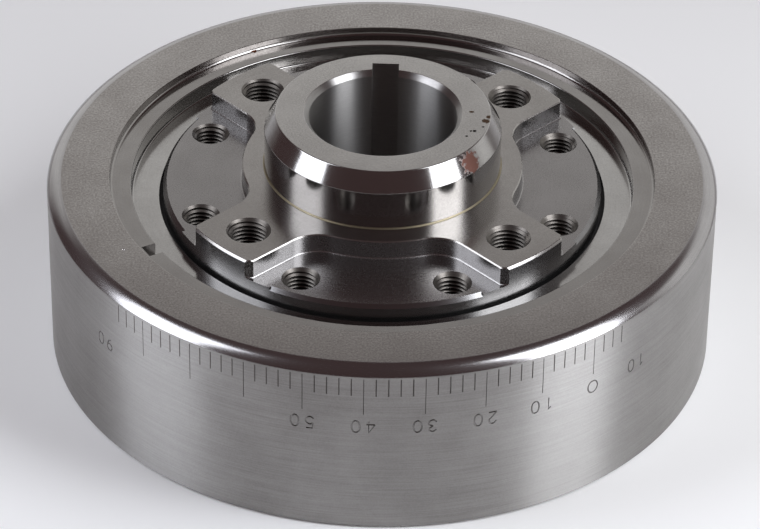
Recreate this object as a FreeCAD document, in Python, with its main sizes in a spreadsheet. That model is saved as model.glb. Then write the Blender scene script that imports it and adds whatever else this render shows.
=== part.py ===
import FreeCAD, Part
import os
import re

import Sketcher
from FreeCAD import Placement, Vector

# Harmonic balancer in millimetres. The crank axis is Z with the engine side up,
# the origin lies on it in the plane of the inertia ring's rear face, and the
# keyway points along +Y.

doc = FreeCAD.newDocument("HarmonicBalancer")

# Driving dimensions: depths are measured down from the ring's rear face
SIZES = {
    # inertia ring
    "ring_diameter": 158.75,
    "ring_height": 44.45,
    "rear_rounding": 2.4,
    "front_edge": 0.6,
    "step_radius": 64.6,
    "step_depth": 2.0,
    "wall_radius": 59.5,
    "rear_annulus_depth": 5.75,
    "front_annulus_depth": 12.95,
    # timing notch in the rear ledge
    "notch_angle": 213.9,
    "notch_width": 4.0,
    "notch_end_radius": 64.2,
    "notch_floor_depth": 5.2,
    # degree scale cut in the ring's side, a line every ten degrees
    "lines_per_turn": 36,
    "zero_line_angle": 308.8,
    "line_width": 0.32,
    "line_depth": 0.2,
    "line_gap": 0.1,
    "line_length": 9.7,
    # elastomer
    "elastomer_thickness": 0.95,
    "elastomer_recess": 1.4,
    # hub
    "flange_radius": 51.95,
    "arm_face_height": 2.7,
    "arm_edge": 0.5,
    "hub_front_depth": 33.5,
    "boss_radius": 27.94,
    "boss_height": 16.8,
    "boss_lead_width": 2.65,
    "boss_lead_height": 4.4,
    "bore_diameter": 34.92,
    "bore_lead": 1.2,
    "counterbore_diameter": 60.3,
    "counterbore_depth": 13.5,
    "keyway_width": 6.35,
    "keyway_floor_radius": 21.2,
    # milled pockets between the arms
    "arm_count": 4,
    "arm_width": 19.8,
    "arm_corner": 1.2,
    "pocket_depth": 4.75,
    "pocket_wall_radius": 33.2,
    "pocket_corner_radius": 8.5,
    "pocket_top_edge": 0.25,
    "floor_chamfer": 0.85,
    "floor_chamfer_angle": 56.0,
    # tapped holes, at the thread's outer diameter, set in from the flange's rim
    "arm_hole_inset": 9.55,
    "arm_hole_diameter": 9.525,
    "arm_hole_countersink": 10.4,
    "pocket_hole_count": 8,
    "pocket_hole_inset": 6.6,
    "pocket_hole_diameter": 7.9375,
    "pocket_hole_countersink": 9.3,
    "countersink_angle": 90.0,
    # how far a cutting profile runs past the metal
    "cut_overrun": 1.0,
}

# Sizes that follow from the driving ones
DERIVED = {
    "ring_radius": "ring_diameter / 2",
    "ring_bore_radius": "flange_radius + elastomer_thickness",
    "line_spread": "line_width / 2 * (line_depth + cut_overrun) / line_depth",
    "elastomer_top": "-rear_annulus_depth - elastomer_recess",
    "elastomer_bottom": "-ring_height + front_annulus_depth + elastomer_recess",
    "bore_radius": "bore_diameter / 2",
    "counterbore_radius": "counterbore_diameter / 2",
    "counterbore_floor": "-hub_front_depth + counterbore_depth",
    "pocket_floor": "arm_face_height - pocket_depth",
    "arm_half_width": "arm_width / 2",
    "arm_half_length": "sqrt(flange_radius ^ 2 - arm_half_width ^ 2)",
    "arm_corner_x": "(arm_half_length + arm_half_width - arm_corner) / sqrt(2)",
    "arm_corner_y": "(arm_half_length - arm_half_width - arm_corner) / sqrt(2)",
    "corner_offset": "arm_half_width + pocket_corner_radius",
    "corner_reach": "sqrt((pocket_wall_radius + pocket_corner_radius) ^ 2 - corner_offset ^ 2)",
    "corner_centre_x": "(corner_reach + corner_offset) / sqrt(2)",
    "corner_centre_y": "(corner_reach - corner_offset) / sqrt(2)",
    "wall_share": "pocket_wall_radius / (pocket_wall_radius + pocket_corner_radius)",
    "arm_side_x": "(corner_reach + arm_half_width) / sqrt(2)",
    "arm_side_y": "(corner_reach - arm_half_width) / sqrt(2)",
    "rim_overrun": "flange_radius + cut_overrun",
}

FULL_TURN = 360.0
MATCH = 1e-3    # how near an edge lies to the size that it is picked by

sheet = doc.addObject("Spreadsheet::Sheet", "Sizes")
for row, (alias, value) in enumerate(SIZES.items(), start=1):
    sheet.set(f"A{row}", alias.replace("_", " "))
    sheet.set(f"B{row}", str(value))
    sheet.setAlias(f"B{row}", alias)
doc.recompute()


def bound(formula):
    """The formula with each size written as a cell of the sheet."""
    def cell(match):
        word = match[0]
        if word in DERIVED:
            return f"({bound(DERIVED[word])})"
        return f"Sizes.{word}" if word in SIZES else word
    return re.sub(r"[a-z_]+", cell, str(formula))


def value_of(formula):
    """The number that a formula gives."""
    result = sheet.evalExpression(bound(formula))
    return float(getattr(result, "Value", result))


def new_body(name):
    body = doc.addObject("PartDesign::Body", name)
    body.Label = name
    body.Placement = Placement()
    return body


def origin_feature(body, role):
    return next(f for f in body.Origin.OriginFeatures if f.Role == role)


def new_sketch(body, name, plane, height=None, turn=None):
    """A sketch on one of the body's origin planes, raised and turned by formulas."""
    sketch = body.newObject("Sketcher::SketchObject", name)
    sketch.AttachmentSupport = [(origin_feature(body, plane), "")]
    sketch.MapMode = "FlatFace"
    if height:
        sketch.setExpression("AttachmentOffset.Base.z", bound(height))
    if turn:
        sketch.setExpression("AttachmentOffset.Rotation.Angle", bound(turn))
    return sketch


def pin(sketch, side, end, formulas):
    """Ties one end of a side to formulas for its two coordinates."""
    for kind, formula in zip(("DistanceX", "DistanceY"), formulas):
        number = sketch.addConstraint(
            Sketcher.Constraint(kind, -1, 1, side, end, value_of(formula)))
        sketch.setExpression(f"Constraints[{number}]", bound(formula))


def size_radius(sketch, side, formula):
    number = sketch.addConstraint(Sketcher.Constraint("Radius", side, value_of(formula)))
    sketch.setExpression(f"Constraints[{number}]", bound(formula))


def point(formulas):
    return Vector(value_of(formulas[0]), value_of(formulas[1]), 0)


def outline(sketch, corners, arcs=None):
    """A closed outline through corners given as pairs of formulas.

    arcs gives, for the number of a side, the formulas for a point on it and its radius.
    """
    arcs = arcs or {}
    points = [point(formulas) for formulas in corners]
    ends = []
    for side, start in enumerate(points):
        stop = points[(side + 1) % len(points)]
        if side in arcs:
            middle = point(arcs[side][0])
            sketch.addGeometry(Part.ArcOfCircle(start, middle, stop), False)
            clockwise = (middle - start).cross(stop - middle).z < 0
            ends.append((2, 1) if clockwise else (1, 2))
        else:
            sketch.addGeometry(Part.LineSegment(start, stop), False)
            ends.append((1, 2))
    for side, formulas in enumerate(corners):
        following = (side + 1) % len(points)
        sketch.addConstraint(Sketcher.Constraint(
            "Coincident", side, ends[side][1], following, ends[following][0]))
        pin(sketch, side, ends[side][0], formulas)
    for side, (_, radius) in arcs.items():
        size_radius(sketch, side, radius)
    return sketch


def finish(body, feature):
    """Makes the feature the body's tip and computes it."""
    body.Tip = feature
    doc.recompute()
    return feature


def turned(body, name, kind, sketch):
    """A full turn of the sketch about the crank axis, added or cut away."""
    feature = body.newObject(f"PartDesign::{kind}", name)
    feature.Profile = sketch
    feature.ReferenceAxis = (sketch, ["V_Axis"])
    feature.Angle = FULL_TURN
    return finish(body, feature)


def pocket(body, name, sketch, depth):
    """A cut from the sketch's plane down by a formula."""
    feature = body.newObject("PartDesign::Pocket", name)
    feature.Profile = sketch
    feature.setExpression("Length", bound(depth))
    return finish(body, feature)


def around(body, name, feature, count):
    """Copies of a feature, evenly spaced about the crank axis."""
    pattern = body.newObject("PartDesign::PolarPattern", name)
    pattern.Originals = [feature]
    pattern.Axis = (origin_feature(body, "Z_Axis"), [""])
    pattern.Angle = FULL_TURN
    pattern.setExpression("Occurrences", bound(count))
    return finish(body, pattern)


def circles(feature, radius, height):
    """Names of the full and part circles about Z with a radius, at a height."""
    names = []
    for number, edge in enumerate(feature.Shape.Edges, start=1):
        if not isinstance(edge.Curve, Part.Circle):
            continue
        same_radius = abs(edge.Curve.Radius - value_of(radius)) < MATCH
        same_height = abs(edge.Curve.Center.z - value_of(height)) < MATCH
        flat = abs(abs(edge.Curve.Axis.z) - 1) < MATCH
        if same_radius and same_height and flat:
            names.append(f"Edge{number}")
    return names


def flat_edges(feature, height):
    """Names of the edges that lie level at a height."""
    level = value_of(height)
    return [f"Edge{number}" for number, edge in enumerate(feature.Shape.Edges, start=1)
            if max(abs(edge.BoundBox.ZMin - level), abs(edge.BoundBox.ZMax - level)) < MATCH]


def dressed(body, name, kind, edges, size):
    """A fillet or a chamfer on edges of the body's tip."""
    if not edges:
        raise ValueError(f"{name} has no edge to work on")
    base = body.Tip
    feature = body.newObject(f"PartDesign::{kind}", name)
    feature.Base = (base, edges)
    feature.setExpression("Radius" if kind == "Fillet" else "Size", bound(size))
    return finish(body, feature)


def hole(body, name, family, height, count):
    """Countersunk through holes, evenly spaced from half a step off +X."""
    reach, diameter = f"flange_radius - {family}_hole_inset", f"{family}_hole_diameter"
    mouth = f"{family}_hole_countersink"
    sketch = new_sketch(body, f"{name}Centre", "XY_Plane", height, f"180 / {count}")
    centre = Vector(value_of(reach), 0, 0)
    sketch.addGeometry(Part.Circle(centre, Vector(0, 0, 1), value_of(diameter) / 2), False)
    pin(sketch, 0, 3, (reach, 0))
    size_radius(sketch, 0, f"{diameter} / 2")
    doc.recompute()
    feature = body.newObject("PartDesign::Hole", name)
    feature.Profile = sketch
    feature.ThreadType = "None"
    feature.DepthType = "ThroughAll"
    feature.HoleCutType = "Countersink"
    feature.HoleCutCustomValues = True
    feature.setExpression("Diameter", bound(diameter))
    feature.setExpression("HoleCutDiameter", bound(mouth))
    feature.setExpression("HoleCutCountersinkAngle", bound("countersink_angle"))
    finish(body, feature)
    around(body, f"{name}s", feature, count)


def make_hub():
    """The steel hub: crank boss, four-armed flange with milled pockets, tapped holes."""
    body = new_body("hub")
    section = outline(new_sketch(body, "HubSection", "XZ_Plane"), [
        ("bore_radius", "boss_height"),
        ("boss_radius - boss_lead_width", "boss_height"),
        ("boss_radius", "boss_height - boss_lead_height"),
        ("boss_radius", "arm_face_height"),
        ("flange_radius", "arm_face_height"),
        ("flange_radius", "-hub_front_depth"),
        ("counterbore_radius", "-hub_front_depth"),
        ("counterbore_radius", "counterbore_floor"),
        ("bore_radius", "counterbore_floor"),
    ])
    hub = turned(body, "TurnedHub", "Revolution", section)

    hub = dressed(body, "BoreLead", "Chamfer",
                  circles(hub, "bore_radius", "boss_height"), "bore_lead")
    dressed(body, "ArmEdge", "Chamfer",
            circles(hub, "flange_radius", "arm_face_height"), "arm_edge")

    # The opening between two arms: its wall runs round the boss, its sides along the arms
    opening = outline(new_sketch(body, "PocketOutline", "XY_Plane", "arm_face_height"), [
        ("corner_centre_x * wall_share", "-corner_centre_y * wall_share"),
        ("corner_centre_x * wall_share", "corner_centre_y * wall_share"),
        ("arm_side_x", "arm_side_y"),
        ("arm_corner_x", "arm_corner_y"),
        ("arm_corner_x", "rim_overrun"),
        ("rim_overrun", "rim_overrun"),
        ("rim_overrun", "-rim_overrun"),
        ("arm_corner_x", "-rim_overrun"),
        ("arm_corner_x", "-arm_corner_y"),
        ("arm_side_x", "-arm_side_y"),
    ], {
        0: (("pocket_wall_radius", 0), "pocket_wall_radius"),
        1: (("corner_centre_x - pocket_corner_radius", "corner_centre_y"),
            "pocket_corner_radius"),
        9: (("corner_centre_x - pocket_corner_radius", "-corner_centre_y"),
            "pocket_corner_radius"),
    })
    milled = pocket(body, "MilledPocket", opening, "pocket_depth")
    hub = around(body, "MilledPockets", milled, "arm_count")

    rims = circles(hub, "flange_radius - arm_edge", "arm_face_height")
    rims += circles(hub, "boss_radius", "arm_face_height")
    tops = [edge for edge in flat_edges(hub, "arm_face_height") if edge not in rims]
    hub = dressed(body, "PocketTopEdges", "Chamfer", tops, "pocket_top_edge")

    # The rim of each pocket's floor is bevelled between blunt ends
    bevel = outline(new_sketch(body, "FloorBevelSection", "XZ_Plane"), [
        ("flange_radius - floor_chamfer - cut_overrun", "pocket_floor + cut_overrun"),
        ("rim_overrun", "pocket_floor + cut_overrun"),
        ("rim_overrun", "pocket_floor - floor_chamfer - cut_overrun"),
    ])
    groove = turned(body, "FloorBevel", "Groove", bevel)
    groove.Midplane = True
    groove.setExpression("Angle", bound("floor_chamfer_angle"))
    doc.recompute()
    around(body, "FloorBevels", groove, "arm_count")

    hole(body, "ArmHole", "arm", "arm_face_height", "arm_count")
    hole(body, "PocketHole", "pocket", "pocket_floor", "pocket_hole_count")

    slot = outline(new_sketch(body, "KeywayOutline", "XY_Plane", "boss_height"), [
        ("-keyway_width / 2", 0),
        ("keyway_width / 2", 0),
        ("keyway_width / 2", "keyway_floor_radius"),
        ("-keyway_width / 2", "keyway_floor_radius"),
    ])
    pocket(body, "Keyway", slot, "boss_height + hub_front_depth")
    return body


def make_inertia_ring():
    """The steel ring: turned section, timing notch and the degree scale round its side."""
    body = new_body("inertia_ring")
    section = outline(new_sketch(body, "RingSection", "XZ_Plane"), [
        ("step_radius", 0),
        ("ring_radius", 0),
        ("ring_radius", "-ring_height"),
        ("wall_radius", "-ring_height"),
        ("wall_radius", "-ring_height + front_annulus_depth"),
        ("ring_bore_radius", "-ring_height + front_annulus_depth"),
        ("ring_bore_radius", "-rear_annulus_depth"),
        ("wall_radius", "-rear_annulus_depth"),
        ("wall_radius", "-step_depth"),
        ("step_radius", "-step_depth"),
    ])
    ring = turned(body, "TurnedRing", "Revolution", section)

    ring = dressed(body, "RearRounding", "Fillet",
                   circles(ring, "ring_radius", 0), "rear_rounding")
    dressed(body, "FrontEdge", "Chamfer",
            circles(ring, "ring_radius", "-ring_height"), "front_edge")

    # The notch opens into the deep wall and ends just inside the step
    notch = outline(new_sketch(body, "NotchOutline", "XY_Plane", turn="notch_angle"), [
        ("wall_radius - cut_overrun", "-notch_width / 2"),
        ("notch_end_radius", "-notch_width / 2"),
        ("notch_end_radius", "notch_width / 2"),
        ("wall_radius - cut_overrun", "notch_width / 2"),
    ])
    pocket(body, "TimingNotch", notch, "notch_floor_depth")

    # The scale's main lines, V-cut down from just below the rounding
    line = outline(new_sketch(body, "ScaleLineOutline", "XY_Plane",
                              "-rear_rounding - line_gap", "zero_line_angle"), [
        ("ring_radius - line_depth", 0),
        ("ring_radius + cut_overrun", "-line_spread"),
        ("ring_radius + cut_overrun", "line_spread"),
    ])
    cut = pocket(body, "ScaleLine", line, "line_length")
    around(body, "ScaleLines", cut, "lines_per_turn")
    return body


def make_elastomer_ring():
    """The rubber band moulded between the hub's rim and the ring's bore."""
    body = new_body("elastomer_ring")
    section = outline(new_sketch(body, "ElastomerSection", "XZ_Plane"), [
        ("flange_radius", "elastomer_top"),
        ("ring_bore_radius", "elastomer_top"),
        ("ring_bore_radius", "elastomer_bottom"),
        ("flange_radius", "elastomer_bottom"),
    ])
    turned(body, "MouldedBand", "Revolution", section)
    return body


pieces = [make_hub(), make_inertia_ring(), make_elastomer_ring()]

failed = [item.Name for item in doc.Objects if {"Invalid", "Error"} & set(item.State)]
if failed:
    raise RuntimeError("features failed: " + ", ".join(failed))
for piece in pieces:
    if piece.Shape.isNull() or not piece.Shape.isValid():
        raise RuntimeError(f"{piece.Label} is not a valid solid")

os.makedirs("parts", exist_ok=True)
for piece in pieces:
    piece.Shape.exportStep(f"parts/{piece.Label}.step")
    box = piece.Shape.BoundBox
    print(piece.Label, len(piece.Shape.Solids), "solid, volume", round(piece.Shape.Volume),
          "height", round(box.ZMin, 2), "to", round(box.ZMax, 2))
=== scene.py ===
from math import atan2, cos, hypot, pi, radians, sin, sqrt, tan

import bmesh
import bpy
from mathutils import Matrix, Vector


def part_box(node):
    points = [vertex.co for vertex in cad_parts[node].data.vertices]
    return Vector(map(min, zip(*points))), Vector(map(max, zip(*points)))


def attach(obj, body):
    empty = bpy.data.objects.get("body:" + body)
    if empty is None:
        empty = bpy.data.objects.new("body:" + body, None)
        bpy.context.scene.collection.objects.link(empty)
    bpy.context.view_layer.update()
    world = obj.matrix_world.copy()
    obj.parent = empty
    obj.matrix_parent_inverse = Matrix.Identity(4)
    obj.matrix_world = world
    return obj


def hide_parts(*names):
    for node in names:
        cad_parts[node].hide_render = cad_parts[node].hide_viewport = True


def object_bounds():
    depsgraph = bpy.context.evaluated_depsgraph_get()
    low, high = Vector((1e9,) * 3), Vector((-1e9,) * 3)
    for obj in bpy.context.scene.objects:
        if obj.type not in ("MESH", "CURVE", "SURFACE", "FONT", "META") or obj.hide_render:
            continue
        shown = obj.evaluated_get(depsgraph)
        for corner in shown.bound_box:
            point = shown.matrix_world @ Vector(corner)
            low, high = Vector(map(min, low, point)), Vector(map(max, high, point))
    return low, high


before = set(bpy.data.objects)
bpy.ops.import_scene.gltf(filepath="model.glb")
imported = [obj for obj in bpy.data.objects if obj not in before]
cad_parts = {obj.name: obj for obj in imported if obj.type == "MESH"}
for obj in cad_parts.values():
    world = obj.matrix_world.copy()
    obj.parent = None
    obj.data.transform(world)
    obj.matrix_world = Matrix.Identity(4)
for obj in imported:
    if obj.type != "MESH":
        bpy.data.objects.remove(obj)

# Harmonic balancer. The crank axis is Z with the engine side up, the keyway points along +Y.
# Lengths are written in millimetres, angles in degrees from +X.
mm = 0.001
upAxis = Vector((0, 0, 1))
cadBox = [list(corner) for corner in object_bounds()]
ringLow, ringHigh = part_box("inertia_ring")
hubLow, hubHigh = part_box("hub")
bandLow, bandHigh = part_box("elastomer_ring")
# Places closer than mergeLength are one, and edges shorter than sliverLength are dropped
mergeLength = 0.001
sliverLength = 0.0005
# How far a cutter stands out past what it cuts
cutterSpare = 1
# Margins for telling by its place which surface a face belongs to
hair = 0.01
near = 0.1


# Meshes

def newPiece(name, bm):
    mesh = bpy.data.meshes.new(name)
    bm.to_mesh(mesh)
    bm.free()
    piece = bpy.data.objects.new(name, mesh)
    bpy.context.scene.collection.objects.link(piece)
    return piece


# A closed section (radius, height, rounding, segments) turned round the crank axis
def turnedBmesh(corners, steps, startAngle=0):
    bm = bmesh.new()
    verts = [bm.verts.new((radius * mm, 0, height * mm)) for radius, height, _, _ in corners]
    bm.faces.new(verts)
    for vert, (_, _, rounding, segments) in zip(verts, corners):
        if rounding:
            bmesh.ops.bevel(bm, geom=[vert], affect='VERTICES', offset=rounding * mm,
                            segments=segments, profile=0.5, material=-1)
    bmesh.ops.delete(bm, geom=bm.faces[:], context='FACES_ONLY')
    bmesh.ops.rotate(bm, verts=bm.verts, matrix=Matrix.Rotation(radians(startAngle), 3, 'Z'))
    bmesh.ops.spin(bm, geom=bm.verts[:] + bm.edges[:], cent=(0, 0, 0), axis=upAxis,
                   angle=2 * pi, steps=steps, use_merge=True)
    bmesh.ops.recalc_face_normals(bm, faces=bm.faces)
    return bm


# Copies of everything in the mesh, evenly spaced round the crank axis
def copyRound(bm, count):
    step = 2 * pi / count
    bmesh.ops.spin(bm, geom=bm.verts[:] + bm.edges[:] + bm.faces[:], cent=(0, 0, 0), axis=upAxis,
                   angle=step * (count - 1), steps=count - 1, use_duplicate=True)


def applyModifiers(piece):
    evaluated = piece.evaluated_get(bpy.context.evaluated_depsgraph_get())
    old = piece.data
    piece.data = bpy.data.meshes.new_from_object(evaluated)
    piece.modifiers.clear()
    bpy.data.meshes.remove(old)


def cutAway(piece, cutter, solver='EXACT'):
    cut = piece.modifiers.new("cut", 'BOOLEAN')
    cut.operation = 'DIFFERENCE'
    cut.solver = solver
    cut.object = cutter
    applyModifiers(piece)
    bpy.data.objects.remove(cutter)


# Smooth shading that breaks at real edges and keeps flats flat; each face gets a finish by its place
sharpAngle = 32
flatWeight = 100


def finishShading(piece, pickFinish, finishes):
    piece.data.materials.clear()
    for material in finishes.values():
        piece.data.materials.append(material)
    slots = {name: slot for slot, name in enumerate(finishes)}
    bm = bmesh.new()
    bm.from_mesh(piece.data)
    bmesh.ops.dissolve_degenerate(bm, dist=sliverLength * mm, edges=bm.edges)
    for edge in bm.edges:
        edge.smooth = edge.is_manifold and edge.calc_face_angle(0) < radians(sharpAngle)
    for face in bm.faces:
        face.smooth = True
        face.material_index = slots[pickFinish(face)]
    bm.to_mesh(piece.data)
    bm.free()
    weighted = piece.modifiers.new("weighted", 'WEIGHTED_NORMAL')
    weighted.weight = flatWeight
    weighted.keep_sharp = True


# Inertia ring. An edge or a fillet is a pair, its size and its segments

ring = {
    "steps": 720,
    "stepRadius": 64.6, "stepDepth": 2.0,
    "wallRadius": 59.5, "boreRadius": 52.9,
    "rearAnnulus": 5.75, "frontAnnulus": 12.95,
    "rearRounding": 4.1, "rearEdgeAngle": 32, "shoulderShare": 0.97, "shoulderSegments": 14,
    "sideEdge": (0.06, 2), "frontEdge": (0.6, 1), "fineEdge": (0.15, 2), "wallEdge": (0.3, 3),
    "wallFillet": (0.5, 4), "stepFillet": (0.8, 5),
    "notchAngle": 211.6, "notchWidth": 4.1, "notchEnd": 63.0, "notchFloor": 5.6, "notchCut": 5,
    "zeroAngle": -51.2, "markPitch": 2, "longEvery": 5, "firstMark": -6, "lastMark": 86,
    "markTop": 2.2, "shortMark": 7.3, "longMark": 12.4,
    "shortWidth": 0.27, "longWidth": 0.17, "markDepth": 0.13, "markFoot": 0.02,
    "punchRadius": 68.4, "punchAngle": 211.1, "punchSize": 0.45, "punchRise": 0.12,
}


# The rear rounding leaves the face smoothly and meets the side at an edge
def ringRounding():
    turn = radians(90 - ring["rearEdgeAngle"])
    radius = ring["rearRounding"]
    return radius * sin(turn), radius * (1 - cos(turn)), radius * tan(turn / 2)


def ringSection():
    outer = ringHigh[0] / mm
    bottom = ringLow[2] / mm
    frontAnnulus = bottom + ring["frontAnnulus"]
    reach, drop, shoulder = ringRounding()
    return [
        (ring["stepRadius"], 0, *ring["fineEdge"]),
        (outer - reach + shoulder, 0, shoulder * ring["shoulderShare"], ring["shoulderSegments"]),
        (outer, -drop, *ring["sideEdge"]),
        (outer, -ring["markTop"], 0, 0),
        (outer, -ring["shortMark"], 0, 0),
        (outer, -ring["longMark"], 0, 0),
        (outer, bottom, *ring["frontEdge"]),
        (ring["wallRadius"], bottom, *ring["wallEdge"]),
        (ring["wallRadius"], frontAnnulus, *ring["wallFillet"]),
        (ring["boreRadius"], frontAnnulus, *ring["fineEdge"]),
        (ring["boreRadius"], -ring["rearAnnulus"], *ring["fineEdge"]),
        (ring["wallRadius"], -ring["rearAnnulus"], *ring["wallFillet"]),
        (ring["wallRadius"], -ring["stepDepth"], *ring["wallEdge"]),
        (ring["stepRadius"], -ring["stepDepth"], *ring["stepFillet"]),
    ]


# The scale: a facet at every second degree is inset and sunk to a V, two facets high at each ten
def cutScale(bm):
    outer = ringHigh[0] / mm
    facet = 2 * pi * outer / ring["steps"]
    marks = {}
    for face in bm.faces:
        centre = face.calc_center_median() / mm
        if hypot(centre.x, centre.y) < outer - near or abs(face.normal.z) > near:
            continue
        degree = (ring["zeroAngle"] - atan2(centre.y, centre.x) * 180 / pi) % 360
        number = round(degree / ring["markPitch"])
        if abs(degree - number * ring["markPitch"]) > near:
            continue
        count = 360 // ring["markPitch"]
        number = (number + count // 2) % count - count // 2
        if not ring["firstMark"] <= number * ring["markPitch"] <= ring["lastMark"]:
            continue
        if -ring["shortMark"] < centre.z < -ring["markTop"]:
            marks.setdefault(number, []).insert(0, face)
        elif -ring["longMark"] < centre.z < -ring["shortMark"] and number % ring["longEvery"] == 0:
            marks.setdefault(number, []).append(face)
    shortFaces, longFaces = [], []
    for group in marks.values():
        if len(group) > 1:
            longFaces += bmesh.ops.dissolve_faces(bm, faces=group, use_verts=False)["region"]
        else:
            shortFaces += group
    for faces, width in ((shortFaces, ring["shortWidth"]), (longFaces, ring["longWidth"])):
        bmesh.ops.inset_individual(bm, faces=faces, thickness=(facet - width) / 2 * mm,
                                   use_even_offset=True)
        bmesh.ops.inset_individual(bm, faces=faces, thickness=(width / 2 - ring["markFoot"]) * mm,
                                   depth=-ring["markDepth"] * mm, use_even_offset=True)


# Numerals: strokes through a few points on a body one unit high, bent round the side
numerals = {
    "height": 3.2, "spacing": 3.4, "middle": (0.31, 0.5), "middleDepth": 15.6,
    "strokeRadius": 0.19, "strokeRise": 0.03, "strokeSides": 2, "curveSteps": 6,
    "labels": {-10: "10", 0: "o", 10: "10", 20: "20", 30: "30", 40: "40", 50: "50", 90: "90"},
}
digitStrokes = {
    "o": [("round", [(0.31, 1), (0.74, 0.5), (0.31, 0), (-0.12, 0.5)])],
    "0": [("round", [(0.31, 1), (0.6, 0.5), (0.31, 0), (0.02, 0.5)])],
    "1": [("straight", [(0.12, 0.82), (0.31, 1), (0.31, 0)])],
    "2": [("smooth", [(0.04, 0.78), (0.31, 1), (0.58, 0.74), (0.36, 0.4), (0.02, 0)]),
          ("straight", [(0.02, 0), (0.6, 0)])],
    "3": [("smooth", [(0.05, 0.84), (0.3, 1), (0.56, 0.77), (0.28, 0.54)]),
          ("smooth", [(0.28, 0.54), (0.6, 0.28), (0.3, 0), (0.02, 0.18)])],
    "4": [("straight", [(0.46, 0), (0.46, 1), (0.02, 0.3)]),
          ("straight", [(0.02, 0.3), (0.62, 0.3)])],
    "5": [("straight", [(0.55, 1), (0.12, 1), (0.07, 0.54)]),
          ("smooth", [(0.07, 0.54), (0.32, 0.64), (0.6, 0.33), (0.3, 0), (0.02, 0.14)])],
    "9": [("round", [(0.31, 1), (0.59, 0.7), (0.31, 0.42), (0.03, 0.7)]),
          ("smooth", [(0.59, 0.7), (0.46, 0.28), (0.12, 0.03)])],
}


def strokeMesh(kind, points):
    tall = numerals["height"] * mm
    curve = bpy.data.curves.new("stroke", 'CURVE')
    curve.dimensions = '3D'
    curve.bevel_depth = numerals["strokeRadius"] * mm
    curve.bevel_resolution = numerals["strokeSides"]
    curve.resolution_u = numerals["curveSteps"]
    curve.use_fill_caps = True
    spline = curve.splines.new('POLY' if kind == "straight" else 'BEZIER')
    if kind == "straight":
        spline.points.add(len(points) - 1)
        for dot, (x, y) in zip(spline.points, points):
            dot.co = (x * tall, y * tall, 0, 1)
    else:
        spline.bezier_points.add(len(points) - 1)
        for dot, (x, y) in zip(spline.bezier_points, points):
            dot.co = (x * tall, y * tall, 0)
            dot.handle_left_type = dot.handle_right_type = 'AUTO'
        spline.use_cyclic_u = kind == "round"
    holder = bpy.data.objects.new("stroke", curve)
    bpy.context.scene.collection.objects.link(holder)
    mesh = bpy.data.meshes.new_from_object(
        holder.evaluated_get(bpy.context.evaluated_depsgraph_get()))
    bpy.data.objects.remove(holder)
    bpy.data.curves.remove(curve)
    return mesh


# One stroke of a digit, its first or its second, at a place on the side; the scale reads with the
# front face up
def addDigit(bm, digit, degree, offset, turn):
    outer = ringHigh[0]
    middle = Vector((*numerals["middle"], 0)) * numerals["height"] * mm
    for kind, points in digitStrokes[digit][turn:turn + 1]:
        mesh = strokeMesh(kind, points)
        fresh = bmesh.new()
        fresh.from_mesh(mesh)
        for vert in fresh.verts:
            place = middle - vert.co
            angle = radians(ring["zeroAngle"] - degree) + (place.x + offset) / outer
            reach = outer + vert.co.z + numerals["strokeRise"] * mm
            vert.co = (reach * cos(angle), reach * sin(angle),
                       place.y - numerals["middleDepth"] * mm)
        fresh.to_mesh(mesh)
        fresh.free()
        bm.from_mesh(mesh)
        bpy.data.meshes.remove(mesh)


# The first or the second stroke of every digit, so that no two in one cutter cross
def numeralCutter(turn):
    bm = bmesh.new()
    for degree, label in numerals["labels"].items():
        for place, digit in enumerate(label):
            offset = ((len(label) - 1) / 2 - place) * numerals["spacing"] * mm
            addDigit(bm, digit, degree, offset, turn)
    bmesh.ops.remove_doubles(bm, verts=bm.verts, dist=mergeLength * mm)
    bmesh.ops.recalc_face_normals(bm, faces=bm.faces)
    return newPiece("numeralCutter", bm)


# The timing notch in the ledge and the punch mark beside it
def notchCutter():
    bm = bmesh.new()
    start = ring["wallRadius"] - cutterSpare
    length, tall = ring["notchEnd"] - start, ring["notchCut"]
    size = Matrix.Diagonal((length * mm, ring["notchWidth"] * mm, tall * mm, 1))
    centre = Vector(((ring["notchEnd"] + start) / 2, 0, tall / 2 - ring["notchFloor"])) * mm
    bmesh.ops.create_cube(bm, size=1, matrix=Matrix.Translation(centre) @ size)
    turn = Matrix.Rotation(radians(ring["notchAngle"]), 3, 'Z')
    bmesh.ops.rotate(bm, verts=bm.verts, matrix=turn)
    angle = radians(ring["punchAngle"])
    flat = ring["punchRadius"] * Vector((cos(angle), sin(angle), 0))
    place = (flat + ring["punchRise"] * upAxis) * mm
    bmesh.ops.create_icosphere(bm, subdivisions=3, radius=ring["punchSize"] * mm,
                               matrix=Matrix.Translation(place))
    return newPiece("notchCutter", bm)


ringMargins = {"rim": 1, "engravedTo": 25, "sunk": 0.005, "underMarks": 0.5, "notchTurn": 2,
               "annulus": 0.4, "edge": 0.005}


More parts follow.
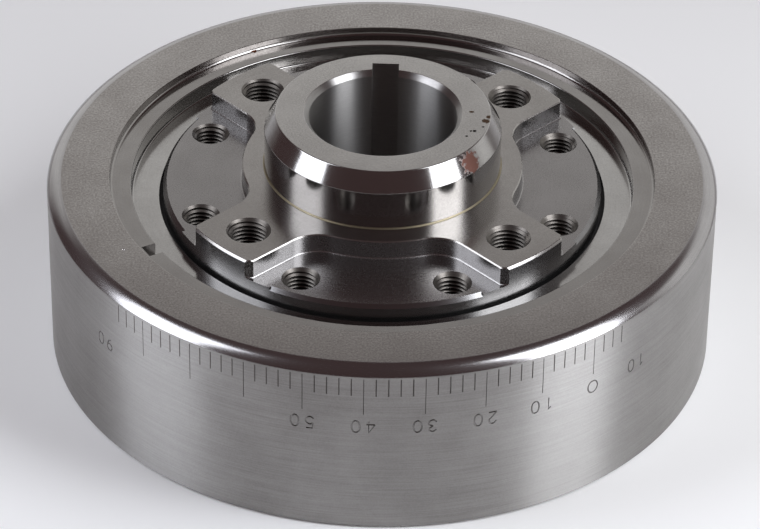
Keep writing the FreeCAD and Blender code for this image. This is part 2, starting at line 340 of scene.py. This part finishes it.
def pickRingFinish(face):
    centre = face.calc_center_median() / mm
    radius = hypot(centre.x, centre.y)
    outer = ringHigh[0] / mm
    deepest = min(hypot(vert.co.x, vert.co.y) for vert in face.verts) / mm
    below = max(vert.co.z for vert in face.verts) / mm
    reach, drop, _ = ringRounding()
    onRim = radius > outer - ringMargins["rim"]
    engraved = -ringMargins["engravedTo"] < below < -drop and deepest < outer - ringMargins["sunk"]
    if onRim and engraved:
        return "markAndNotchShade" if below > -ring["longMark"] - ringMargins["underMarks"] else "numeral"
    angle = (atan2(centre.y, centre.x) * 180 / pi - ring["notchAngle"] + 180) % 360 - 180
    # The notch's walls and floor take the dark mark finish: painted shade in the notch
    overLedge = ring["wallRadius"] + near < radius < ring["notchEnd"] + near
    sunkInLedge = abs(angle) < ringMargins["notchTurn"] and centre.z < -ring["stepDepth"] - near
    if overLedge and sunkInLedge:
        return "markAndNotchShade"
    if radius < ring["wallRadius"] - ringMargins["annulus"]:
        return "bore"
    belowStep = centre.z < -ring["stepDepth"] and radius < outer - ringMargins["rim"]
    if radius < ring["stepRadius"] - near or belowStep:
        return "inner"
    if radius > outer - near:
        return "side"
    if radius > outer - reach and centre.z < -ringMargins["edge"]:
        return "edge"
    return "face"


def makeRing(finishes):
    halfFacet = 180 / ring["steps"]
    bm = turnedBmesh(ringSection(), ring["steps"], ring["zeroAngle"] - halfFacet)
    cutScale(bm)
    piece = newPiece("inertiaRing", bm)
    cutAway(piece, notchCutter())
    cutAway(piece, numeralCutter(0), 'MANIFOLD')
    cutAway(piece, numeralCutter(1), 'MANIFOLD')
    finishShading(piece, pickRingFinish, finishes)
    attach(piece, "root")
    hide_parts("inertia_ring")
    print("ring made:", len(piece.data.polygons), "faces, radius", round(ringHigh[0] / mm, 3))


# Hub

hub = {
    "steps": 384, "arms": 4,
    "flangeRadius": 51.95, "armHeight": 2.7, "armEdge": 0.5,
    "bossRadius": 27.94, "leadWidth": 2.65, "leadHeight": 4.4,
    "boreRadius": 17.46, "boreLead": 1.2,
    "counterboreRadius": 30.15, "counterboreDepth": 13.5,
    "keyWidth": 6.35, "keyFloor": 21.2,
    "armWidth": 19.8, "armCorner": 1.2,
    "pocketFloor": -2.05, "pocketWall": 33.2, "wallSteps": 18, "pocketCorner": 8.5, "cornerSteps": 16,
    "pocketReach": 3, "topEdge": 0.25, "footRadius": 0.45, "footSteps": 5,
    "floorBevel": 0.85, "floorBevelAngle": 56, "floorBevelSteps": 60,
    "fineEdge": (0.1, 2), "leadTop": (0.22, 3), "leadFoot": (0.14, 2), "bossFoot": (0.35, 4),
    "frontEdge": (0.4, 3), "boreEdge": (0.2, 2),
    "holeSteps": 64,
}
# Both kinds of hole are tapped 24 to the inch
threadPitch = 25.4 / 24
armHoles = {"count": hub["arms"], "circle": 42.4, "radius": 4.7625, "mouth": 5.2, "crest": 4.2,
            "height": hub["armHeight"], "turnSteps": 32}
pocketHoles = {"count": 2 * hub["arms"], "circle": 45.35, "radius": 3.96875, "mouth": 4.5,
               "crest": 3.42, "height": hub["pocketFloor"], "turnSteps": 28}


def hubSection():
    top = hubHigh[2] / mm
    bottom = hubLow[2] / mm
    return [
        (hub["boreRadius"], top - hub["boreLead"], *hub["fineEdge"]),
        (hub["boreRadius"] + hub["boreLead"], top, *hub["fineEdge"]),
        (hub["bossRadius"] - hub["leadWidth"], top, *hub["leadTop"]),
        (hub["bossRadius"], top - hub["leadHeight"], *hub["leadFoot"]),
        (hub["bossRadius"], hub["armHeight"], *hub["bossFoot"]),
        (hub["flangeRadius"] - hub["armEdge"], hub["armHeight"], *hub["fineEdge"]),
        (hub["flangeRadius"], hub["armHeight"] - hub["armEdge"], *hub["fineEdge"]),
        (hub["flangeRadius"], bottom, *hub["frontEdge"]),
        (hub["counterboreRadius"], bottom, *hub["frontEdge"]),
        (hub["counterboreRadius"], bottom + hub["counterboreDepth"], *hub["frontEdge"]),
        (hub["boreRadius"], bottom + hub["counterboreDepth"], *hub["boreEdge"]),
    ]


# Half of a pocket's outline as a run of edges, grown outwards: its arcs are spun, its straights
# are single edges
def pocketLoop(bm, grow, height):
    armHalf = hub["armWidth"] / 2 - grow
    corner = hub["pocketCorner"] + grow
    wall = hub["pocketWall"] - grow
    offset = armHalf + corner
    reach = sqrt((wall + corner) ** 2 - offset ** 2)
    centre = Vector((reach + offset, reach - offset, 0)) / sqrt(2)
    wallTurn = atan2(centre.y, centre.x)
    cornerTurn = pi / 4 + wallTurn
    armReach = sqrt(hub["flangeRadius"] ** 2 - (hub["armWidth"] / 2) ** 2)
    armEnd = (armReach + hub["armWidth"] / 2 - hub["armCorner"]) / sqrt(2) - grow
    far = hub["flangeRadius"] + hub["pocketReach"]
    made = [bm.verts.new((wall * mm, 0, height * mm))]

    def spinOn(middle, angle, steps):
        result = bmesh.ops.spin(bm, geom=[made[-1]], cent=middle, axis=upAxis,
                                angle=angle, steps=steps)
        made.append(next(v for v in result["geom_last"] if isinstance(v, bmesh.types.BMVert)))

    def runTo(x, y):
        vert = bm.verts.new((x * mm, y * mm, height * mm))
        bm.edges.new((made[-1], vert))
        made.append(vert)

    spinOn((0, 0, 0), wallTurn, hub["wallSteps"])
    spinOn(Vector((centre.x, centre.y, height)) * mm, -cornerTurn, hub["cornerSteps"])
    along = armEnd * sqrt(2) - armHalf
    runTo((along + armHalf) / sqrt(2), (along - armHalf) / sqrt(2))
    runTo(armEnd, far)
    runTo(far, far)
    runTo(far, 0)


# The pocket between two arms as a cutter: levels of the outline bridged from mouth to floor
def pocketCutter():
    bm = bmesh.new()
    foot = hub["footRadius"]
    floor = hub["pocketFloor"]
    levels = [(hub["topEdge"] + cutterSpare, hub["armHeight"] + cutterSpare),
              (0, hub["armHeight"] - hub["topEdge"])]
    for step in range(hub["footSteps"] + 1):
        turn = step / hub["footSteps"] * pi / 2
        levels.append((-foot * (1 - cos(turn)), floor + foot * (1 - sin(turn))))
    loops = []
    for grow, height in levels:
        before = set(bm.edges)
        pocketLoop(bm, grow, height)
        half = [edge for edge in bm.edges if edge not in before]
        verts = list({vert for edge in half for vert in edge.verts})
        bmesh.ops.mirror(bm, geom=half + verts, matrix=Matrix.Identity(4),
                         merge_dist=mergeLength * mm, axis='Y')
        loops.append([edge for edge in bm.edges if edge not in before])
    for upper, lower in zip(loops, loops[1:]):
        bmesh.ops.bridge_loops(bm, edges=upper + lower)
    for loop in (loops[0], loops[-1]):
        bmesh.ops.contextual_create(bm, geom=loop)
    bmesh.ops.recalc_face_normals(bm, faces=bm.faces)
    copyRound(bm, hub["arms"])
    return newPiece("pocketCutter", bm)


# One countersunk hole's cutter, spun on its own axis and set on its circle
def addHoleCutter(bm, hole):
    bottom = hubLow[2] / mm - cutterSpare
    top = hole["height"] + cutterSpare
    depth = hole["mouth"] - hole["radius"]
    points = [(0, top), (hole["mouth"] + cutterSpare, top),
              (hole["radius"], hole["height"] - depth), (hole["radius"], bottom), (0, bottom)]
    fresh = bmesh.new()
    verts = [fresh.verts.new((x * mm, 0, z * mm)) for x, z in points]
    for start, end in zip(verts, verts[1:]):
        fresh.edges.new((start, end))
    bmesh.ops.spin(fresh, geom=fresh.verts[:] + fresh.edges[:], cent=(0, 0, 0), axis=upAxis,
                   angle=2 * pi, steps=hub["holeSteps"], use_merge=True)
    bmesh.ops.remove_doubles(fresh, verts=fresh.verts, dist=mergeLength * mm)
    bmesh.ops.recalc_face_normals(fresh, faces=fresh.faces)
    placeRound(bm, fresh, hole)


# Moves a bmesh out to its circle, half a step from +X, copies it round and adds it to another
def placeRound(bm, fresh, hole):
    bmesh.ops.translate(fresh, verts=fresh.verts, vec=(hole["circle"] * mm, 0, 0))
    bmesh.ops.rotate(fresh, verts=fresh.verts,
                     matrix=Matrix.Rotation(pi / hole["count"], 3, 'Z'))
    copyRound(fresh, hole["count"])
    mesh = bpy.data.meshes.new("copies")
    fresh.to_mesh(mesh)
    fresh.free()
    bm.from_mesh(mesh)
    bpy.data.meshes.remove(mesh)


def holeCutter():
    bm = bmesh.new()
    addHoleCutter(bm, armHoles)
    addHoleCutter(bm, pocketHoles)
    addKeyway(bm)
    addFloorBevels(bm)
    return newPiece("holeCutter", bm)


def addKeyway(bm):
    top = hubHigh[2] / mm + cutterSpare
    bottom = hubLow[2] / mm - cutterSpare
    size = Matrix.Diagonal((hub["keyWidth"] * mm, hub["keyFloor"] * mm, (top - bottom) * mm, 1))
    centre = Vector((0, hub["keyFloor"] / 2, (top + bottom) / 2)) * mm
    bmesh.ops.create_cube(bm, size=1, matrix=Matrix.Translation(centre) @ size)


# The bevel along the rim of each pocket's floor
def addFloorBevels(bm):
    fresh = bmesh.new()
    outer, floor, bevel = hub["flangeRadius"], hub["pocketFloor"], hub["floorBevel"]
    side, top = outer + cutterSpare, floor + cutterSpare
    points = [(outer - bevel - cutterSpare, top), (side, top), (side, floor - bevel - cutterSpare)]
    verts = [fresh.verts.new((x * mm, 0, z * mm)) for x, z in points]
    face = fresh.faces.new(verts)
    # placeRound turns its copies by half a step, and the pockets are whole steps from +X
    half = radians(hub["floorBevelAngle"]) / 2
    bmesh.ops.rotate(fresh, verts=verts, matrix=Matrix.Rotation(-half - pi / 4, 3, 'Z'))
    bmesh.ops.spin(fresh, geom=[face], cent=(0, 0, 0), axis=upAxis, angle=2 * half,
                   steps=hub["floorBevelSteps"])
    bmesh.ops.recalc_face_normals(fresh, faces=fresh.faces)
    placeRound(bm, fresh, {"circle": 0, "count": hub["arms"]})


# Thread: a ridge spun down the hole as a helix, trimmed to the countersink at its mouth.
# footShare and tipShare are half the ridge's height at its foot and tip, as shares of the pitch
thread = {"sunk": 0.08, "start": 0.2, "ends": 0.1, "footShare": 0.46, "tipShare": 0.07, "inCone": 0.05}


def addThread(bm, hole):
    bottom = hubLow[2] / mm + thread["ends"]
    root = hole["radius"] + thread["sunk"]
    start = hole["height"] - thread["start"]
    turns = (start - threadPitch / 2 - bottom) / threadPitch
    steps = int(turns * hole["turnSteps"])
    foot, tip = threadPitch * thread["footShare"], threadPitch * thread["tipShare"]
    points = [(root, -foot), (hole["crest"], -tip), (hole["crest"], tip), (root, foot)]
    fresh = bmesh.new()
    verts = [fresh.verts.new((x * mm, 0, (start + z) * mm)) for x, z in points]
    face = fresh.faces.new(verts)
    bmesh.ops.spin(fresh, geom=[face], cent=(0, 0, 0), axis=-upAxis,
                   dvec=(0, 0, -threadPitch / hole["turnSteps"] * mm),
                   angle=2 * pi * steps / hole["turnSteps"], steps=steps)
    for vert in fresh.verts:
        depth = hole["height"] - vert.co.z / mm
        reach = hypot(vert.co.x, vert.co.y) / mm
        cone = hole["mouth"] - depth
        if reach < cone:
            scale = (cone + thread["inCone"]) / reach
            vert.co.x *= scale
            vert.co.y *= scale
        vert.co.z = min(vert.co.z, (hole["height"] - thread["ends"]) * mm)
    bmesh.ops.recalc_face_normals(fresh, faces=fresh.faces)
    placeRound(bm, fresh, hole)


# levelThread and levelBore are how level a face may lie, as its normal's share along the axis
hubMargins = {"levelThread": 0.98, "levelBore": 0.9, "top": 0.05, "footReach": 0.5, "footRise": 0.44,
              "bossReach": 0.3, "bossRise": 0.02, "armDrop": 0.55, "armRim": 0.2, "pocketRim": 0.05,
              "floorRise": 0.3}


def pickHubFinish(face):
    centre = face.calc_center_median() / mm
    radius = hypot(centre.x, centre.y)
    angle = atan2(centre.y, centre.x)
    level = abs(face.normal.z)
    top = hubHigh[2] / mm
    arms = hub["armHeight"]
    for hole in (armHoles, pocketHoles):
        step = 2 * pi / hole["count"]
        nearest = (round(angle / step - 0.5) + 0.5) * step
        place = Vector((hole["circle"] * cos(nearest), hole["circle"] * sin(nearest)))
        inside = (place - Vector((centre.x, centre.y))).length < hole["mouth"]
        # Thread faces take the dark thread finish, painted shade inside the holes
        if inside and centre.z < hole["height"] - hair and level < hubMargins["levelThread"]:
            return "thread"
    if radius < hub["keyFloor"] + near and centre.z < top - hair and level < hubMargins["levelBore"]:
        return "bore"
    if centre.z > top - hubMargins["top"]:
        return "bossTop"
    inFoot = arms + hair < centre.z < arms + hubMargins["footRise"]
    if inFoot and radius < hub["bossRadius"] + hubMargins["footReach"]:
        return "foot"
    if radius < hub["bossRadius"] + hubMargins["bossReach"] and centre.z > arms + hubMargins["bossRise"]:
        return "boss"
    if centre.z > arms - hubMargins["armDrop"] and radius < hub["flangeRadius"] - hubMargins["armRim"]:
        return "arm"
    if centre.z > hub["pocketFloor"] - hair and radius < hub["flangeRadius"] - hubMargins["pocketRim"]:
        return "pocket" if centre.z < hub["pocketFloor"] + hubMargins["floorRise"] else "wall"
    return "rim"


def makeHub(finishes):
    piece = newPiece("steelHub", turnedBmesh(hubSection(), hub["steps"]))
    cutAway(piece, pocketCutter())
    cutAway(piece, holeCutter())
    bm = bmesh.new()
    bm.from_mesh(piece.data)
    addThread(bm, armHoles)
    addThread(bm, pocketHoles)
    bm.to_mesh(piece.data)
    bm.free()
    finishShading(piece, pickHubFinish, finishes)
    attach(piece, "root")
    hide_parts("hub")
    print("hub made:", len(piece.data.polygons), "faces")


# Elastomer band, its two ends slightly hollow

band = {"steps": 360, "hollow": 0.25, "hollowFillet": (0.3, 3)}


def makeBand(material):
    top = bandHigh[2] / mm
    bottom = bandLow[2] / mm
    inner = hub["flangeRadius"]
    outer = ring["boreRadius"]
    middle = (inner + outer) / 2
    section = [
        (inner, top, 0, 0), (middle, top - band["hollow"], *band["hollowFillet"]), (outer, top, 0, 0),
        (outer, bottom, 0, 0), (middle, bottom + band["hollow"], *band["hollowFillet"]),
        (inner, bottom, 0, 0),
    ]
    piece = newPiece("elastomerBand", turnedBmesh(section, band["steps"]))
    finishShading(piece, lambda face: "band", {"band": material})
    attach(piece, "root")
    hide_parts("elastomer_ring")
    print("band made")


# Materials

def newGroup(name, inputs, outputs):
    group = bpy.data.node_groups.new(name, 'ShaderNodeTree')
    for label, kind, value in inputs:
        socket = group.interface.new_socket(label, in_out='INPUT', socket_type="NodeSocket" + kind)
        socket.default_value = value
    for label, kind in outputs:
        group.interface.new_socket(label, in_out='OUTPUT', socket_type="NodeSocket" + kind)
    return group, group.nodes.new("NodeGroupInput"), group.nodes.new("NodeGroupOutput")


# Adds a node; an input given as another node's output is linked, any other is set
def addNode(tree, kind, inputs, **settings):
    node = tree.nodes.new("ShaderNode" + kind)
    for key, value in settings.items():
        setattr(node, key, value)
    for key, value in inputs.items():
        if isinstance(value, bpy.types.NodeSocket):
            tree.links.new(value, node.inputs[key])
        else:
            node.inputs[key].default_value = value
    return node


def addMath(tree, operation, first, second):
    return addNode(tree, "Math", {0: first, 1: second}, operation=operation).outputs[0]


# Fine lines round the crank axis, as a lathe leaves them; seamless, from the direction to the axis
def makeTurnedLines():
    group, start, end = newGroup("turnedLines", [("Fineness", "Float", 4000.0), ("Run", "Float", 4.0)],
                                 [("Lines", "Float")])
    place = addNode(group, "TexCoord", {}).outputs["Object"]
    flat = addNode(group, "VectorMath", {0: place, 1: (1, 1, 0)}, operation='MULTIPLY').outputs[0]
    radius = addNode(group, "VectorMath", {0: flat}, operation='LENGTH').outputs["Value"]
    around = addNode(group, "VectorMath", {0: flat}, operation='NORMALIZE').outputs[0]
    height = addNode(group, "SeparateXYZ", {0: place}).outputs["Z"]
    swept = addNode(group, "VectorMath", {0: around, "Scale": start.outputs["Run"]},
                    operation='SCALE').outputs[0]
    level = addNode(group, "CombineXYZ", {2: addMath(group, 'MULTIPLY', height,
                                                     start.outputs["Fineness"])}).outputs[0]
    vector = addNode(group, "VectorMath", {0: swept, 1: level}, operation='ADD').outputs[0]
    across = addMath(group, 'MULTIPLY', radius, start.outputs["Fineness"])
    noise = addNode(group, "TexNoise", {"Vector": vector, "W": across, "Scale": 1.0,
                                        "Detail": 3.0, "Roughness": 0.65}, noise_dimensions='4D')
    group.links.new(noise.outputs["Fac"], end.inputs["Lines"])
    return group


# Even grain of one size, with a coarser cloud under it
def makeGrain():
    group, start, end = newGroup("grain", [("Size", "Float", 0.0004), ("Cloud", "Float", 0.012)],
                                 [("Grain", "Float"), ("Clouds", "Float")])
    place = addNode(group, "TexCoord", {}).outputs["Object"]
    for size, output, detail in (("Size", "Grain", 2.0), ("Cloud", "Clouds", 3.0)):
        scale = addMath(group, 'DIVIDE', 1.0, start.outputs[size])
        noise = addNode(group, "TexNoise", {"Vector": place, "Scale": scale, "Detail": detail,
                                            "Roughness": 0.6})
        group.links.new(noise.outputs["Fac"], end.inputs[output])
    return group


# A ragged spot round a place: 1 inside, 0 outside
def makeSpot():
    group, start, end = newGroup("spot", [("Place", "Vector", (0, 0, 0)), ("Reach", "Float", 0.001)],
                                 [("Mask", "Float")])
    place = addNode(group, "TexCoord", {}).outputs["Object"]
    away = addNode(group, "VectorMath", {0: place, 1: start.outputs["Place"]},
                   operation='DISTANCE').outputs["Value"]
    share = addMath(group, 'DIVIDE', away, start.outputs["Reach"])
    ragged = addNode(group, "TexNoise", {"Vector": place, "Scale": 1100.0, "Detail": 2.0})
    raggedness = 1.6
    edge = addMath(group, 'MULTIPLY_ADD', ragged.outputs["Fac"], raggedness)
    edge.node.inputs[2].default_value = -raggedness / 2
    total = addMath(group, 'ADD', share, edge)
    mask = addNode(group, "MapRange", {"Value": total, "From Min": 1.0, "From Max": 0.75,
                                       "To Min": 0.0, "To Max": 1.0}).outputs["Result"]
    group.links.new(mask, end.inputs["Mask"])
    return group


turnedLines = makeTurnedLines()
grain = makeGrain()
spot = makeSpot()


def useGroup(tree, group, inputs):
    node = tree.nodes.new("ShaderNodeGroup")
    node.node_tree = group
    for key, value in inputs.items():
        node.inputs[key].default_value = value
    return node


# What every steel finish shares: how far the tone moves the roughness, the turned lines' fineness
# and run, the clouds' size, and how rough a spot is
everySteel = {"swing": 0.06, "fineness": 4000.0, "run": 5.0, "cloudSize": 0.014, "spotRoughness": 0.6}


# Steel finishes. dark and light are the two ends of the metal's own tone; lines, grain and clouds
# say how much each one moves it, depth is the bump's height, spots are places, reaches and colours
def steel(name, dark, light, roughness, anisotropic, lines=0.3, grainShare=0.5, clouds=0.6,
          depth=0.002, grainSize=0.0004, spots=()):
    material = bpy.data.materials.new(name)
    material.use_nodes = True
    tree = material.node_tree
    shader = tree.nodes["Principled BSDF"]
    shader.inputs["Metallic"].default_value = 1
    shader.inputs["Anisotropic"].default_value = anisotropic
    shader.inputs["Anisotropic Rotation"].default_value = 0.25
    tangent = addNode(tree, "Tangent", {}, direction_type='RADIAL', axis='Z')
    tree.links.new(tangent.outputs["Tangent"], shader.inputs["Tangent"])
    turned = useGroup(tree, turnedLines, {"Fineness": everySteel["fineness"],
                                          "Run": everySteel["run"]}).outputs["Lines"]
    fine = useGroup(tree, grain, {"Size": grainSize, "Cloud": everySteel["cloudSize"]})
    tone = addMath(tree, 'MULTIPLY', turned, lines)
    tone = addNode(tree, "Math", {0: fine.outputs["Grain"], 1: grainShare, 2: tone},
                   operation='MULTIPLY_ADD').outputs[0]
    tone = addNode(tree, "Math", {0: fine.outputs["Clouds"], 1: clouds, 2: tone},
                   operation='MULTIPLY_ADD').outputs[0]
    middle = (lines + grainShare + clouds) / 2
    tone = addMath(tree, 'SUBTRACT', tone, middle - 0.5)
    colour = addNode(tree, "Mix", {"Factor": tone, "A": (*dark, 1), "B": (*light, 1)},
                     data_type='RGBA', clamp_factor=True).outputs["Result"]
    swing = everySteel["swing"]
    rough = addNode(tree, "MapRange", {"Value": tone, "To Min": roughness + swing,
                                       "To Max": roughness - swing}).outputs["Result"]
    for place, reach, paint in spots:
        centre = [part * mm for part in place]
        mask = useGroup(tree, spot, {"Place": centre, "Reach": reach * mm}).outputs["Mask"]
        colour = addNode(tree, "Mix", {"Factor": mask, "A": colour, "B": (*paint, 1)},
                         data_type='RGBA').outputs["Result"]
        rough = addNode(tree, "Mix", {"Factor": mask, "A": rough,
                                      "B": everySteel["spotRoughness"]}).outputs["Result"]
    tree.links.new(colour, shader.inputs["Base Color"])
    tree.links.new(rough, shader.inputs["Roughness"])
    height = addNode(tree, "Mix", {"Factor": 0.5, "A": turned,
                                   "B": fine.outputs["Grain"]}).outputs["Result"]
    bump = addNode(tree, "Bump", {"Height": height, "Strength": 1.0, "Distance": depth * mm})
    tree.links.new(bump.outputs["Normal"], shader.inputs["Normal"])
    return material


def makeRubber():
    material = bpy.data.materials.new("rubber")
    material.use_nodes = True
    tree = material.node_tree
    shader = tree.nodes["Principled BSDF"]
    fine = useGroup(tree, grain, {"Size": 0.0005, "Cloud": 0.006})
    colour = addNode(tree, "Mix", {"Factor": fine.outputs["Clouds"], "A": (0.012, 0.012, 0.013, 1),
                                   "B": (0.035, 0.034, 0.033, 1)}, data_type='RGBA').outputs["Result"]
    rough = addNode(tree, "MapRange", {"Value": fine.outputs["Grain"], "To Min": 0.5,
                                       "To Max": 0.75}).outputs["Result"]
    bump = addNode(tree, "Bump", {"Height": fine.outputs["Grain"], "Strength": 1.0,
                                  "Distance": 0.02 * mm})
    tree.links.new(colour, shader.inputs["Base Color"])
    tree.links.new(rough, shader.inputs["Roughness"])
    tree.links.new(bump.outputs["Normal"], shader.inputs["Normal"])
    return material


rustBrown = (0.09, 0.03, 0.015)
stainBlack = (0.02, 0.016, 0.014)
stainBrown = (0.1, 0.06, 0.035)
bossSpecks = [
    ((19.8, -9.4, 16.8), 0.45, stainBlack), ((20.7, -7.2, 16.8), 0.4, stainBlack),
    ((21.5, -7.1, 16.8), 0.5, stainBlack), ((24.2, -2.8, 16.8), 1.0, stainBrown),
    ((24.9, -1.0, 16.8), 0.8, stainBrown), ((23.5, -5.3, 16.8), 0.4, stainBlack),
    ((20.8, 1.0, 16.8), 0.5, stainBrown), ((20.9, 15.0, 16.8), 0.7, stainBrown),
]

ringFaceSteel = steel("ringFaceSteel", (0.22, 0.2, 0.19), (0.46, 0.445, 0.43), 0.18, 0.1, grainShare=1.3,
                      clouds=0.5, grainSize=0.0005, depth=0.003)
ringSideSteel = steel("ringSideSteel", (0.27, 0.26, 0.25), (0.45, 0.44, 0.43), 0.38, 0.97, lines=1.0)
ringEdgeSteel = steel("ringEdgeSteel", (0.33, 0.32, 0.32), (0.48, 0.47, 0.47), 0.2, 0.3, lines=0.8)
ringInnerSteel = steel("ringInnerSteel", (0.22, 0.205, 0.195), (0.35, 0.34, 0.33), 0.14, 0.2,
                       spots=[((-33.75, 55.1, -1.8), 0.9, rustBrown)])
ringBoreSteel = steel("ringBoreSteel", (0.35, 0.34, 0.33), (0.54, 0.535, 0.52), 0.17, 0.3)
# Dark steel of the engraved marks; on the timing notch it is painted shade
markAndNotchShadeSteel = steel("markAndNotchShadeSteel", (0.09, 0.08, 0.075), (0.2, 0.19, 0.18), 0.4, 0.0)
numeralSteel = steel("numeralSteel", (0.12, 0.115, 0.11), (0.3, 0.29, 0.28), 0.22, 0.0)
bossSteel = steel("bossSteel", (0.32, 0.31, 0.3), (0.5, 0.49, 0.48), 0.14, 0.5, depth=0.006, lines=0.5,
                  grainShare=0.8, spots=[((21.1, -16.9, 14.6), 3.0, (0.15, 0.075, 0.06))])
wallSteel = steel("wallSteel", (0.27, 0.265, 0.265), (0.44, 0.435, 0.435), 0.27, 0.0)
footSteel = steel("footSteel", (0.15, 0.125, 0.08), (0.38, 0.34, 0.24), 0.38, 0.0, clouds=1.0)
boreSteel = steel("boreSteel", (0.32, 0.31, 0.3), (0.46, 0.45, 0.44), 0.36, 0.97, lines=0.9)
bossTopSteel = steel("bossTopSteel", (0.3, 0.29, 0.28), (0.48, 0.465, 0.45), 0.18, 0.1, grainShare=1.0,
                     spots=bossSpecks)
armSteel = steel("armSteel", (0.28, 0.265, 0.25), (0.43, 0.415, 0.4), 0.22, 0.2, grainShare=0.8)
pocketSteel = steel("pocketSteel", (0.26, 0.25, 0.245), (0.4, 0.39, 0.385), 0.27, 0.1, depth=0.004)
# Thread finish kept very dark: painted shade inside the tapped holes
threadShadeSteel = steel("threadShadeSteel", (0.08, 0.071, 0.062), (0.22, 0.205, 0.19), 0.38, 0.0)
# Rim finish darkened: painted shade in the gap between the hub flange and the ring
hubRimShadeSteel = steel("hubRimShadeSteel", (0.19, 0.187, 0.187), (0.33, 0.325, 0.325), 0.24, 0.7, lines=0.8)
rubber = makeRubber()

makeHub({"boss": bossSteel, "arm": armSteel, "pocket": pocketSteel, "thread": threadShadeSteel,
         "rim": hubRimShadeSteel, "bore": boreSteel, "bossTop": bossTopSteel, "foot": footSteel,
         "wall": wallSteel})
makeRing({"face": ringFaceSteel, "inner": ringInnerSteel, "markAndNotchShade": markAndNotchShadeSteel, "side": ringSideSteel,
          "edge": ringEdgeSteel, "numeral": numeralSteel, "bore": ringBoreSteel})
makeBand(rubber)


# Studio

# Two tall softboxes at the sides, a pale backdrop behind and to the right up to backdropTop, else dark.
# Azimuths are from the camera's side, to the right
studio = {
    "floorColour": (0.92, 0.92, 0.91), "floorSize": 6.0,
    "backdropAzimuth": 160, "backdropFade": (0.3, 0.65), "backdropTop": (33.7, 38.2),
    "backdropColour": (0.84, 0.835, 0.83), "darkColour": (0.085, 0.055, 0.055),
}
softboxes = {
    # azimuth, height angle, roll, distance, width, height, watts, colour
    "leftBox": (-75, 33, 20, 0.5, 0.26, 0.58, 1.7, (0.93, 0.97, 1.05)),
    "rightBox": (67, 34, -18, 0.5, 0.235, 0.62, 2.85, (0.95, 0.98, 1.03)),
}
cameraView = {"elevation": 35.133, "turn": 1.2416, "roll": 0.870, "distance": 967.1,
              "aim": (-0.2, 0, -27.03), "lens": 190.09}


def makeFloor():
    bm = bmesh.new()
    bmesh.ops.create_grid(bm, x_segments=2, y_segments=2, size=studio["floorSize"] / 2,
                          matrix=Matrix.Translation((0, 0, cadBox[0][2])))
    floor = newPiece("floor", bm)
    paint = bpy.data.materials.new("floorPaint")
    paint.use_nodes = True
    shader = paint.node_tree.nodes["Principled BSDF"]
    shader.inputs["Base Color"].default_value = (*studio["floorColour"], 1)
    shader.inputs["Roughness"].default_value = 0.9
    floor.data.materials.append(paint)


def makeLamp(name, azimuth, elevation, roll, distance, width, height, watts, colour):
    lamp = bpy.data.lights.new(name, 'AREA')
    lamp.shape = 'RECTANGLE'
    lamp.size = width
    lamp.size_y = height
    lamp.energy = watts
    lamp.color = colour
    holder = bpy.data.objects.new(name, lamp)
    turn = Matrix.Rotation(radians(azimuth), 4, 'Z') @ Matrix.Rotation(radians(90 - elevation), 4, 'X')
    lean = Matrix.Rotation(radians(roll), 4, 'Z')
    holder.matrix_world = turn @ Matrix.Translation((0, 0, distance)) @ lean
    bpy.context.scene.collection.objects.link(holder)


def makeCamera():
    camera = bpy.data.cameras.new("camera")
    camera.lens = cameraView["lens"]
    camera.sensor_width = 36
    camera.sensor_fit = 'HORIZONTAL'
    holder = bpy.data.objects.new("camera", camera)
    turn = (Matrix.Rotation(radians(cameraView["turn"]), 4, 'Z')
            @ Matrix.Rotation(radians(90 - cameraView["elevation"]), 4, 'X'))
    aim = Matrix.Translation(Vector(cameraView["aim"]) * mm)
    back = Matrix.Translation((0, 0, cameraView["distance"] * mm))
    roll = Matrix.Rotation(radians(cameraView["roll"]), 4, 'Z')
    holder.matrix_world = aim @ turn @ back @ roll
    bpy.context.scene.collection.objects.link(holder)
    bpy.context.scene.camera = holder


def makeWorld():
    world = bpy.data.worlds.new("studioAir")
    world.use_nodes = True
    tree = world.node_tree
    azimuth = radians(studio["backdropAzimuth"])
    side = (sin(azimuth), -cos(azimuth), 0)
    direction = addNode(tree, "TexCoord", {}).outputs["Generated"]
    along = addNode(tree, "VectorMath", {0: direction, 1: side}, operation='DOT_PRODUCT').outputs["Value"]
    fadeStart, fadeEnd = studio["backdropFade"]
    behind = addNode(tree, "MapRange", {"Value": along, "From Min": fadeStart, "From Max": fadeEnd},
                     interpolation_type='SMOOTHSTEP').outputs["Result"]
    low, high = studio["backdropTop"]
    height = addNode(tree, "SeparateXYZ", {0: direction}).outputs["Z"]
    under = addNode(tree, "MapRange", {"Value": height, "From Min": sin(radians(high)),
                                       "From Max": sin(radians(low))},
                    interpolation_type='SMOOTHSTEP').outputs["Result"]
    share = addMath(tree, 'MULTIPLY', behind, under)
    colour = addNode(tree, "Mix", {"Factor": share, "A": (*studio["darkColour"], 1),
                                   "B": (*studio["backdropColour"], 1)},
                     data_type='RGBA').outputs["Result"]
    tree.links.new(colour, tree.nodes["Background"].inputs["Color"])
    bpy.context.scene.world = world


makeFloor()
for name, values in softboxes.items():
    makeLamp(name, *values)
makeCamera()
makeWorld()
bpy.context.scene.view_settings.view_transform = 'Standard'
print("studio made")
